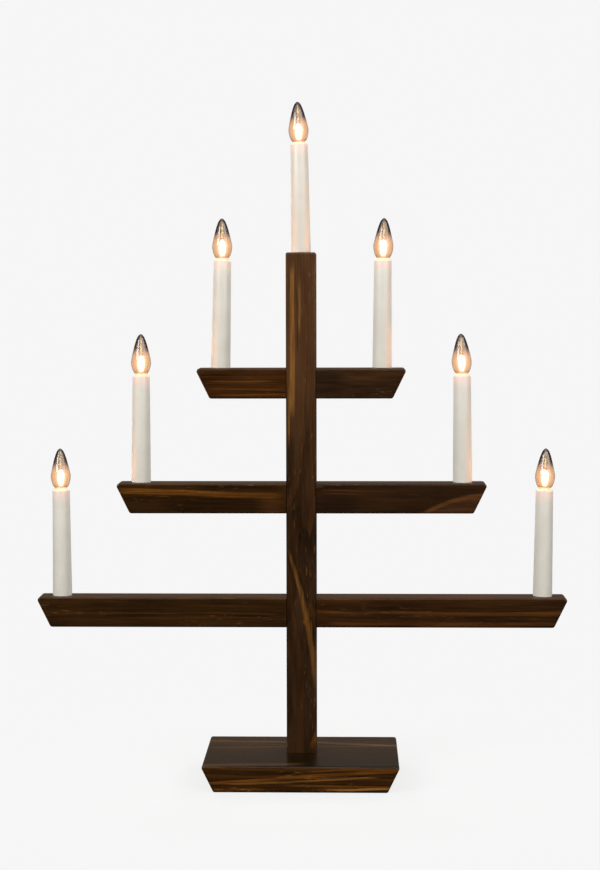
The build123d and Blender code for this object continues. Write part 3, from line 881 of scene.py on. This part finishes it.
def wound_wire(tree, given, turns, radius, height, wire, points, sides):
    """A helix of round wire about the z axis, with so many points to a turn and sides to the wire."""
    sizes = {
        "Resolution": points,
        "Rotations": given[turns],
        "Start Radius": given[radius],
        "End Radius": given[radius],
        "Height": given[height],
    }
    helix = add(tree, "GeometryNodeCurveSpiral", sizes).outputs[0]
    section = add(tree, "GeometryNodeCurvePrimitiveCircle", {"Resolution": sides, "Radius": given[wire]})
    inputs = {"Curve": helix, "Profile Curve": section.outputs[0], "Fill Caps": True}
    return add(tree, "GeometryNodeCurveToMesh", inputs).outputs[0]


def make_thread_tree():
    """Adds the rolled thread of a screw cap to its plain wall."""
    sizes = {"Turns": 3.9, "Ridge Radius": 0.0043, "Thread Height": 0.0071, "Ridge Width": 0.00035}
    tree, given, end = start_tree("rolled_thread", {**sizes, "Start": 0.0})
    ridge = wound_wire(tree, given, *sizes, points=36, sides=8)
    place = combine(tree, z=given["Start"])
    ridge = add(tree, "GeometryNodeTransform", {"Geometry": ridge, "Translation": place}).outputs[0]
    joined = add(tree, "GeometryNodeJoinGeometry", {0: given["Geometry"]})
    tree.links.new(ridge, joined.inputs[0])
    return end_tree(tree, given, end, joined.outputs[0])


def make_filament_tree():
    """A coiled filament that arches between its two supports."""
    sizes = {"Turns": 26.0, "Coil Radius": 0.00028, "Span": 0.006, "Wire Radius": 0.00007, "Arch": 0.0035}
    tree, given, end = start_tree("coiled_filament", sizes)
    coil = wound_wire(tree, given, "Turns", "Coil Radius", "Span", "Wire Radius", points=10, sides=5)
    lying = {"Geometry": coil, "Rotation": (0, math.pi / 2, 0)}
    turn = add(tree, "GeometryNodeTransform", lying).outputs[0]
    along = split(tree, add(tree, "GeometryNodeInputPosition").outputs[0])[0]
    share = calc(tree, "DIVIDE", along, given["Span"])
    bow = times(tree, calc(tree, "SUBTRACT", 1.0, share), times(tree, share, 4.0))
    lift = times(tree, bow, given["Arch"])
    back = times(tree, given["Span"], -0.5)
    inputs = {"Geometry": turn, "Offset": combine(tree, x=back, z=lift)}
    bent = add(tree, "GeometryNodeSetPosition", inputs).outputs[0]
    return end_tree(tree, given, end, bent)


def grow(name, base, tree, material, sizes, place):
    """Run a tree on a mesh, keep the result as a plain mesh and put it in place."""
    source = new_object(name + "_source", base)
    modifier = source.modifiers.new("grow", "NODES")
    modifier.node_group = tree
    for item in tree.interface.items_tree:
        if item.in_out == "INPUT" and item.name in sizes:
            modifier[item.identifier] = sizes[item.name]
        if item.in_out == "INPUT" and item.name == "Material":
            modifier[item.identifier] = material
    bpy.context.view_layer.update()
    graph = bpy.context.evaluated_depsgraph_get()
    mesh = bpy.data.meshes.new_from_object(source.evaluated_get(graph))
    bpy.data.objects.remove(source)
    mesh.name = name
    mesh.transform(place)
    return put_in_scene(name, mesh)


# Pieces of a candle


def settle(piece, body, slot, *replaced):
    """Tie a piece to its body, in place of the frame's own nodes. The slot is not used."""
    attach(piece, body)
    if replaced:
        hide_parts(*replaced)


def make_cap(name, place, tree, material):
    """The cap's thin wall with the thread rolled into it."""
    plain = turned(name + "_wall", cap_profile(), Matrix.Identity(4))
    mesh = plain.data
    bpy.data.objects.remove(plain)
    return grow(name, mesh, tree, material, {"Start": (cap_foot + thread_start) * mm}, place)


def rod(name, start, stop, radius, material):
    """A thin round rod between two points."""
    run = stop - start
    place = Matrix.Translation(start) @ run.to_track_quat("Z", "Y").to_matrix().to_4x4()
    length = run.length / mm
    profile = [(0, 0), (radius, 0), (radius, length), (0, length)]
    return turned(name, profile, place, material, segments=10, closed=False)


def join(name, pieces):
    """Join pieces into the first of them."""
    for piece in bpy.context.selected_objects:
        piece.select_set(False)
    for piece in pieces:
        piece.select_set(True)
    bpy.context.view_layer.objects.active = pieces[0]
    bpy.ops.object.join()
    pieces[0].name = name
    return pieces[0]


def make_mount(name, place):
    """Pressed glass stem and the two wires that hold the filament."""
    stem = [(radius, neck_foot + height) for radius, height in stem_points]
    pieces = [turned(name + "_stem", stem, place, finishes["stem_glass"], segments=32, closed=False)]
    top = neck_foot + stem_height
    for way in (-1, 1):
        low = place @ Vector((way * support_foot_spread * mm, 0, (top - support_foot_sink) * mm))
        high = place @ Vector((way * support_spread * mm, 0, (top + support_height) * mm))
        pieces.append(rod(name + "_support", low, high, support_radius, finishes["support_wire"]))
    return join(name, pieces)


def make_candle(name, tube, lamp, lit):
    """Tube and holder on the stand, then what turns with the lamp. Lit holds the level's finishes."""
    turning = f"lamp_{name}"
    piece = turned(f"tube_{name}", tube_profile(), tube, lit["candle"])
    settle(piece, "stand", "candle_plastic", f"candle_tube_{name}")
    piece = turned(f"holder_{name}", holder_profile(), tube, finishes["holder"])
    settle(piece, "stand", "holder_plastic", f"lamp_holder_{name}")
    piece = make_cap(f"cap_{name}", tube, trees["thread"], finishes["cap_metal"])
    settle(piece, turning, "lamp_cap_metal", f"lamp_cap_{name}")
    up, down = glass_profile()
    piece = turned(f"glass_{name}", up + down, lamp, lit["glass"])
    settle(piece, turning, "lamp_glass", f"lamp_glass_{name}")
    piece = make_mount(f"mount_{name}", lamp)
    settle(piece, turning, "lamp_filament", f"lamp_mount_{name}")
    coil_height = neck_foot + stem_height + support_height
    place = lamp @ Matrix.Translation((0, 0, coil_height * mm))
    blank = bpy.data.meshes.new("blank")
    piece = grow(f"filament_{name}", blank, trees["filament"], finishes["filament"], {}, place)
    settle(piece, turning, "lamp_filament")
    for part, shell in glow_shells.items():
        outline = glow_profile(shell)
        piece = turned(f"glow_{part}_{name}", outline, lamp, lit[part], segments=40, closed=False)
        settle(piece, turning, "lamp_filament")


# Stage


# The background's colour, and how much of the floor's real shade shows: a share that fades out
# between two distances from the middle, in metres
paper = rgb(246, 246, 246)
shadow_share = 0.16
shadow_reach = (0.1, 0.4)
floor_half = 6.0

# The light of one lamp: watts, colour and the size of its source in metres
lamp_watts = 0.14
lamp_colour = (1.0, 0.34, 0.08)
lamp_source = 0.004


def in_sight(tree):
    """1 for what the camera sees straight or through glass."""
    path = add(tree, "ShaderNodeLightPath").outputs
    return calc(tree, "MAXIMUM", path["Is Camera Ray"], path["Is Transmission Ray"])


def make_floor():
    """Pale to the camera with a faint shadow, and a plain grey for the light that it throws back."""
    material, tree, shader, position = start_material("pale_floor")
    tree.nodes.remove(shader)
    grey = add(tree, "ShaderNodeBsdfDiffuse", {"Color": rgb(62, 62, 62)}).outputs[0]
    matte = add(tree, "ShaderNodeBsdfDiffuse", {"Color": rgb(214, 214, 214)}).outputs[0]
    pale = add(tree, "ShaderNodeEmission", {"Color": paper, "Strength": 1.0}).outputs[0]
    gap = add(tree, "ShaderNodeVectorMath", {0: position}, operation="LENGTH").outputs["Value"]
    shadow = fade(tree, gap, *shadow_reach, shadow_share, 0.0)
    seen = add(tree, "ShaderNodeMixShader", {0: shadow, 1: pale, 2: matte}).outputs[0]
    joined = add(tree, "ShaderNodeMixShader", {0: in_sight(tree), 1: grey, 2: seen}).outputs[0]
    feed(tree.nodes["Material Output"], {"Surface": joined})
    ways = [(-1, -1), (1, -1), (1, 1), (-1, 1)]
    mesh = bpy.data.meshes.new("floor")
    mesh.from_pydata([(x * floor_half, y * floor_half, 0) for x, y in ways], [], [(0, 1, 2, 3)])
    floor = put_in_scene("floor", mesh, material)


def make_world():
    """Pale to the camera. What lights the object is dark in front, warm grey behind and pale above."""
    world = bpy.data.worlds.new("studio")
    bpy.context.scene.world = world
    world.use_nodes = True
    tree = world.node_tree
    tree.nodes.clear()
    parts = split(tree, add(tree, "ShaderNodeTexCoord").outputs["Generated"])
    room = blend_colour(tree, fade(tree, parts[1], -0.6, 0.9), rgb(52, 52, 52), rgb(92, 88, 84))
    horizon = times(tree, fade(tree, parts[1], 0.5, 0.95), fade_down(tree, parts[2], 0.2, 0.6))
    room = blend_colour(tree, horizon, room, rgb(122, 106, 92))
    room = blend_colour(tree, fade(tree, parts[2], 0.25, 0.95), room, rgb(200, 200, 200))
    lit = add(tree, "ShaderNodeBackground", {"Color": room, "Strength": 1.0}).outputs[0]
    seen = add(tree, "ShaderNodeBackground", {"Color": paper, "Strength": 1.0}).outputs[0]
    joined = add(tree, "ShaderNodeMixShader", {0: in_sight(tree), 1: lit, 2: seen}).outputs[0]
    add(tree, "ShaderNodeOutputWorld", {"Surface": joined})


def area_light(name, place, power, width, height, aim=(0, 0, 0.35), colour=(1, 1, 1), mirrored=True):
    """A flat soft light that looks at its aim. Gloss doesn't show it where it isn't mirrored."""
    data = bpy.data.lights.new(name, "AREA")
    data.shape = "RECTANGLE"
    data.size = width
    data.size_y = height
    data.energy = power
    data.color = colour
    light = new_object(name, data)
    turn = (Vector(aim) - Vector(place)).to_track_quat("-Z", "Y").to_matrix().to_4x4()
    light.matrix_world = Matrix.Translation(place) @ turn
    light.visible_glossy = mirrored
    light.visible_transmission = False


def lamp_light(name, place):
    data = bpy.data.lights.new(name, "POINT")
    data.energy = lamp_watts
    data.shadow_soft_size = lamp_source
    data.color = lamp_colour
    light = new_object(name, data)
    light.location = place


# Finishes of the boards, with the streaks that the photograph shows


def stain_post():
    curve = {"slope": 0.1077, "curve": -0.9986}
    stain_board(
        "post", pith=(0, 0.03, -0.05), spacing=0.011, seed=3.1, upright=True,
        wander=0.05, low=rgb(22, 11, 2), high=rgb(84, 55, 32), bands=0.3, flecks=0.3, lighter=(0.3, 0.4),
        fibres=0.3,
        streaks=[
            streak(0.015, 0.015, 0.088, 0.236, widening=-0.05, colour=rgb(112, 72, 28), **curve),
            streak(0.0172, 0.004, 0.12, 0.225, colour=black_stain, **curve),
            streak(-0.0013, 0.006, 0.026, 0.058, slope=0.35, amount=0.7),
            streak(-0.0085, 0.005, 0.36, 0.52, amount=0.6, colour=gold),
            streak(-0.0118, 0.002, 0.33, 0.4, amount=0.6, colour=gold),
            streak(-0.0015, 0.0028, 0.44, 0.505, amount=0.5, colour=gold),
            streak(-0.0042, 0.0016, 0.42, 0.5, colour=dark_stain),
            streak(0.006, 0.012, 0.42, 0.56, amount=0.45, colour=rgb(74, 46, 28)),
        ],
    )


def stain_base():
    thin = {"depth": 0.012}
    stain_board(
        "base_block", pith=(0, 0.2, -0.2), spacing=0.005, seed=7.7,
        low=rgb(24, 12, 2), high=rgb(60, 34, 9), bands=0.7, flecks=0.6,
        top_streaks_and_sheen=[
            # The first three are pale lines on the top, painted sheen laid as growth streaks; the last is an
            # amber growth streak
            streak(0.038, 0.0075, -0.11, 0.0, slope=-0.05, amount=0.4, colour=rgb(108, 86, 68)),
            streak(0.039, 0.0075, -0.01, 0.11, slope=-0.17, amount=0.45, colour=rgb(112, 90, 72)),
            streak(0.018, 0.006, -0.1, 0.1, slope=0.04, amount=0.3, colour=rgb(88, 66, 48)),
            streak(-0.0555, 0.01, -0.11, 0.01, slope=0.05, amount=0.5, colour=rgb(90, 55, 20)),
        ],
        streaks=[
            streak(0.01245, 0.0032, -0.11, -0.035, slope=-0.02, **thin),
            streak(0.00825, 0.002, 0.0, 0.1, slope=0.03, amount=0.6, **thin),
            streak(0.00285, 0.0038, -0.1, 0.11, slope=0.075, amount=0.85, **thin),
            streak(-0.00135, 0.002, -0.08, 0.08, slope=0.05, amount=0.5, colour=gold, **thin),
            streak(-0.00595, 0.0018, -0.02, 0.1, slope=-0.01, amount=0.6, **thin),
            streak(-0.00895, 0.0026, 0.015, 0.1, amount=0.85, colour=gold, **thin),
            streak(-0.00835, 0.003, -0.1, -0.03, slope=0.02, amount=0.5, **thin),
        ],
    )


def stain_upper_arms():
    stain_board(
        "upper_left_arm", pith=(0, 0.2, 0.3), spacing=0.0042, seed=1.3,
        low=rgb(32, 15, 2), high=rgb(64, 34, 7), bands=0.5, flecks=0.4,
        streaks=[
            streak(0.0023, 0.0018, -0.1, -0.02, amount=0.55),
            streak(-0.0057, 0.0022, -0.1, -0.01, amount=0.5),
            streak(-0.0107, 0.0022, -0.09, -0.01, amount=0.6),
        ],
    )
    stain_board(
        "upper_right_arm", pith=(0, 0.12, 0.46), spacing=0.02, seed=9.4,
        low=rgb(32, 18, 7), high=rgb(66, 41, 20), bands=0.15, flecks=0.25, fibres=0.35,
        streaks=[streak(0.0001, 0.04, 0.0, 0.05, amount=0.6, colour=rgb(32, 19, 9))],
    )


def stain_middle_arms():
    arch = {"slope": 1.4454, "curve": -3.75}
    stain_board(
        "middle_left_arm", pith=(0, 0.16, 0.2), spacing=0.03, seed=5.2,
        low=rgb(24, 12, 1), high=rgb(50, 28, 5), bands=0.2, flecks=0.25, fibres=0.4,
        streaks=[
            streak(0.002, 0.0055, -0.19, -0.012, slope=-0.03, widening=-0.008),
            streak(0.01, 0.005, -0.11, -0.012, slope=-0.01, amount=0.7, colour=black_stain),
            streak(-0.008, 0.016, -0.05, -0.01, slope=-0.02, amount=0.5, colour=russet),
        ],
    )
    stain_board(
        "middle_right_arm", pith=(0, 0.16, 0.36), spacing=0.03, seed=2.6,
        wander=0.015, low=rgb(24, 12, 4), high=rgb(48, 28, 12), bands=0.2, flecks=0.2, fibres=0.35,
        streaks=[
            streak(-0.1463, 0.03, 0.1, 0.3, amount=0.85, colour=rgb(72, 43, 23), **arch),
            streak(-0.1355, 0.0044, 0.11, 0.3, amount=0.5, colour=rgb(106, 64, 28), **arch),
            streak(0.0087, 0.002, 0.015, 0.1, slope=-0.015, amount=0.45, colour=russet),
            streak(0.006, 0.0014, 0.015, 0.07, slope=-0.02, amount=0.4, colour=russet),
        ],
    )


def stain_lower_arms():
    stain_board(
        "lower_left_arm", pith=(0, 0.2, 0.06), spacing=0.0046, seed=4.9,
        wander=0.008, low=rgb(26, 13, 1), high=rgb(54, 31, 7), bands=0.25, flecks=0.4,
        streaks=[
            streak(-0.0007, 0.0016, -0.25, -0.02, amount=0.4, colour=russet),
            streak(-0.0051, 0.0016, -0.2, -0.02, amount=0.3, colour=russet),
        ],
    )
    stain_board(
        "lower_right_arm", pith=(0, 0.25, 0.02), spacing=0.0072, seed=6.1,
        low=rgb(24, 12, 2), high=rgb(58, 32, 9), bands=0.6, flecks=0.15,
        streaks=[
            streak(0.0007, 0.0034, 0.016, 0.28, slope=-0.006, amount=0.6, colour=russet),
            streak(-0.0041, 0.0028, 0.016, 0.28, amount=0.5, colour=black_stain),
            streak(-0.0106, 0.0034, 0.02, 0.28, amount=0.55, colour=russet),
        ],
    )


# Finishes of the other pieces


def dress_hidden():
    """The pieces of the frame that the scene doesn't make anew: back, underside and inside."""
    dressing = {
        "arm_dowels": moulded_plastic("plain_beech", rgb(205, 172, 128), 0.6, variation=0.3, grit=1500.0),
        "base_screws": worn_metal("zinc_steel", rgb(196, 197, 200), 0.3),
        "base_plate": moulded_plastic("bottom_plate", rgb(34, 30, 28), 0.55, variation=0.25),
        "groove_covers": moulded_plastic("cover_strip", rgb(46, 29, 15), 0.5, variation=0.3),
        "cord_bush": moulded_plastic("bush_rubber", rgb(28, 27, 26), 0.6, variation=0.25),
        "terminal_block": moulded_plastic("terminal_plastic", rgb(228, 226, 216), 0.4),
        "series_leads": moulded_plastic("lead_jacket", rgb(222, 218, 205), 0.45),
        "tube_plugs": moulded_plastic("plug_plastic", rgb(224, 220, 206), 0.45),
        "socket_contacts": worn_metal("socket_brass", rgb(205, 168, 98), 0.3),
    }
    dressing["plate_screws"] = dressing["base_screws"]
    feed(shader_of(dressing["groove_covers"]), {"Specular IOR Level": 0.2})
    solder = worn_metal("solder", rgb(190, 190, 186), 0.35)
    for name in candles:
        dressing[f"lamp_contact_{name}"] = solder
    for name, material in dressing.items():
        dress(name, material)


def level_finishes(level, rim_height):
    """Lit materials of one level's candles, which fade by their height from the tube's rim."""
    found = {
        "candle": candle_plastic(f"candle_{level}", rim_height),
        "glass": lamp_glass_material(f"glass_{level}", rim_height),
    }
    for part, shell in glow_shells.items():
        found[part] = glow_material(f"glow_{part}_{level}", shell, rim_height)
    return found


# Making

make_camera()
make_world()
make_floor()

groups = {
    "grain": make_grain_group(),
    "streak": make_streak_group(),
    "edge": make_edge_group(),
    "surface": make_surface_group(),
}
candles = candle_frames()
stain_post()
stain_base()
stain_upper_arms()
stain_middle_arms()
stain_lower_arms()
dress_hidden()

finishes = {
    "holder": lit_collar(),
    "cap_metal": worn_metal("cap_nickel", rgb(205, 198, 180), 0.25),
    "stem_glass": moulded_plastic("stem_glass", rgb(214, 210, 198), 0.15),
    "support_wire": worn_metal("support_wire", rgb(170, 168, 165), 0.3),
    "filament": hot_filament(),
}
lit_finishes = {}
for first in ("top", "upper_left", "middle_left", "lower_left"):
    level = first.split("_")[0]
    rim_height = candles[first][0].translation.z + rim * mm
    lit_finishes[level] = level_finishes(level, rim_height)

trees = {"thread": make_thread_tree(), "filament": make_filament_tree()}
for name, (tube, lamp) in candles.items():
    make_candle(name, tube, lamp, lit_finishes[name.split("_")[0]])
    lamp_light(f"lamplight_{name}", lamp @ Vector((0, 0, (rim + lamp_light_height) * mm)))

# Studio lights: place in metres, watts, width and height
area_light("key", (-1.9, -1.7, 1.6), 57, 1.2, 1.2)
area_light("fill", (1.9, -1.7, 1.6), 54, 2.2, 2.2)
area_light("above", (0.0, -0.2, 2.4), 6, 1.6, 1.2, aim=(0, 0, 0.3))
area_light("behind_left", (-1.3, 1.86, 1.5), 30, 1.0, 1.0, mirrored=False)
area_light("behind_right", (1.3, 1.86, 1.5), 30, 1.0, 1.0, mirrored=False)
area_light("glint", (0.05, -1.75, 1.55), 5, 0.3, 1.0, aim=(0, 0, 0.45), colour=(1.0, 0.86, 0.62))
